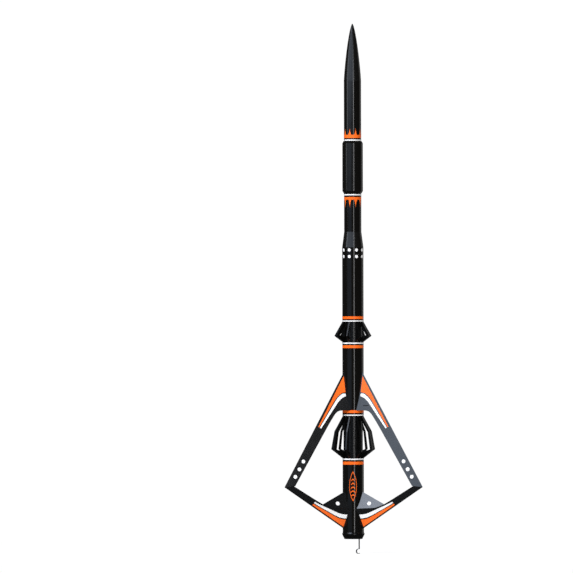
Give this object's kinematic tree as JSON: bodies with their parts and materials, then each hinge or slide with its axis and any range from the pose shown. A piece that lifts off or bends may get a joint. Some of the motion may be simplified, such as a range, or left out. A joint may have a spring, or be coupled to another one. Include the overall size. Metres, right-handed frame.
{
  "type": "model rocket",
  "caption": "Tall single-stage model rocket with a pull-off nose section, two slotted ring-fin pods, three folded fins and a sprung motor hook.",
  "frame": {"origin": "centre of the motor tube's rear opening, in the plane of the tail ring's rear edge", "axes": "+Z along the rocket towards the nose, -Y is the front, the motor hook lies 60 degrees round from the front towards +X"},
  "size_m": [0.2694, 0.2333, 1.0374],
  "materials": {
    "body_tube": "gloss black paper tube",
    "nose_plastic": "gloss moulded black",
    "sleeve_plastic": "gloss moulded black",
    "pod_plastic": "gloss moulded black",
    "fin_plastic": "satin black sheet with printed stripes",
    "kraft_card": "unpainted brown card",
    "fibre_board": "pale fibre board",
    "zinc_wire": "zinc plated wire",
    "spring_steel": "bare spring steel",
    "band_film": "black film",
    "lug_card": "black lug",
    "wadding_tissue": "crumpled fire resistant tissue",
    "parachute_film": "lilac film",
    "decal_orange": "orange adhesive film",
    "decal_white": "white adhesive film"
  },
  "bodies": {
    "airframe": {"forward_tube": "body_tube", "sleeve": "sleeve_plastic", "transition": "nose_plastic", "main_tube": "body_tube", "small_pod_front_ring": "pod_plastic", "small_pod_rear_ring": "pod_plastic", "small_pod_core": "pod_plastic", "fin_tube": "body_tube", "large_pod_front_ring": "pod_plastic", "large_pod_rear_ring": "pod_plastic", "large_pod_core": "pod_plastic", "tail_tube": "body_tube", "tail_ring": "pod_plastic", "motor_tube": "kraft_card", "thrust_ring": "kraft_card", "front_centring_ring": "fibre_board", "rear_centring_ring": "fibre_board", "hook_band": "band_film", "hook_leaf": "spring_steel", "front_lug": "lug_card", "rear_lug": "lug_card", "front_standoff": "lug_card", "rear_standoff": "lug_card", "wadding": "wadding_tissue", "cord_anchor": "kraft_card", "small_pod_fin_1": "pod_plastic", "small_pod_fin_2": "pod_plastic", "small_pod_fin_3": "pod_plastic", "small_pod_fin_4": "pod_plastic", "small_pod_fin_5": "pod_plastic", "small_pod_fin_6": "pod_plastic", "small_pod_fin_7": "pod_plastic", "small_pod_fin_8": "pod_plastic", "small_pod_fin_9": "pod_plastic", "large_pod_fin_1": "pod_plastic", "large_pod_fin_2": "pod_plastic", "large_pod_fin_3": "pod_plastic", "large_pod_fin_4": "pod_plastic", "large_pod_fin_5": "pod_plastic", "large_pod_fin_6": "pod_plastic", "large_pod_fin_7": "pod_plastic", "large_pod_fin_8": "pod_plastic", "large_pod_fin_9": "pod_plastic", "fin_upper_arm_1": "fin_plastic", "fin_upper_arm_2": "fin_plastic", "fin_upper_arm_3": "fin_plastic", "fin_lower_arm_1": "fin_plastic", "fin_lower_arm_2": "fin_plastic", "fin_lower_arm_3": "fin_plastic", "fin_gusset_1": "fin_plastic", "fin_gusset_2": "fin_plastic", "fin_gusset_3": "fin_plastic"},
    "nose_section": {"nose_cone": "nose_plastic", "payload_tube": "body_tube", "nose_coupler": "kraft_card", "payload_bulkhead": "fibre_board", "screw_eye": "zinc_wire"},
    "hook_spring": {"engine_hook": "spring_steel"},
    "parachute": {"parachute_pack": "parachute_film"}
  },
  "joints": [
    {"name": "nose_pull", "type": "slide", "parent": "airframe", "child": "nose_section", "axis": [0, 0, 1], "range_m": [0, 0.12]},
    {"name": "parachute_pull", "type": "slide", "parent": "airframe", "child": "parachute", "axis": [0, 0, 1], "range_m": [0, 0.072]},
    {"name": "hook_flex", "type": "hinge", "parent": "airframe", "child": "hook_spring", "pos_m": [0.01127, -0.00651, 0.02], "axis": [-0.5, -0.866, 0], "range_deg": [0, 8], "stiffness_Nm_per_rad": 0.8}
  ],
  "couplings": [
    {"joint": "parachute_pull", "follows": "nose_pull", "ratio": 0.6}
  ]
}
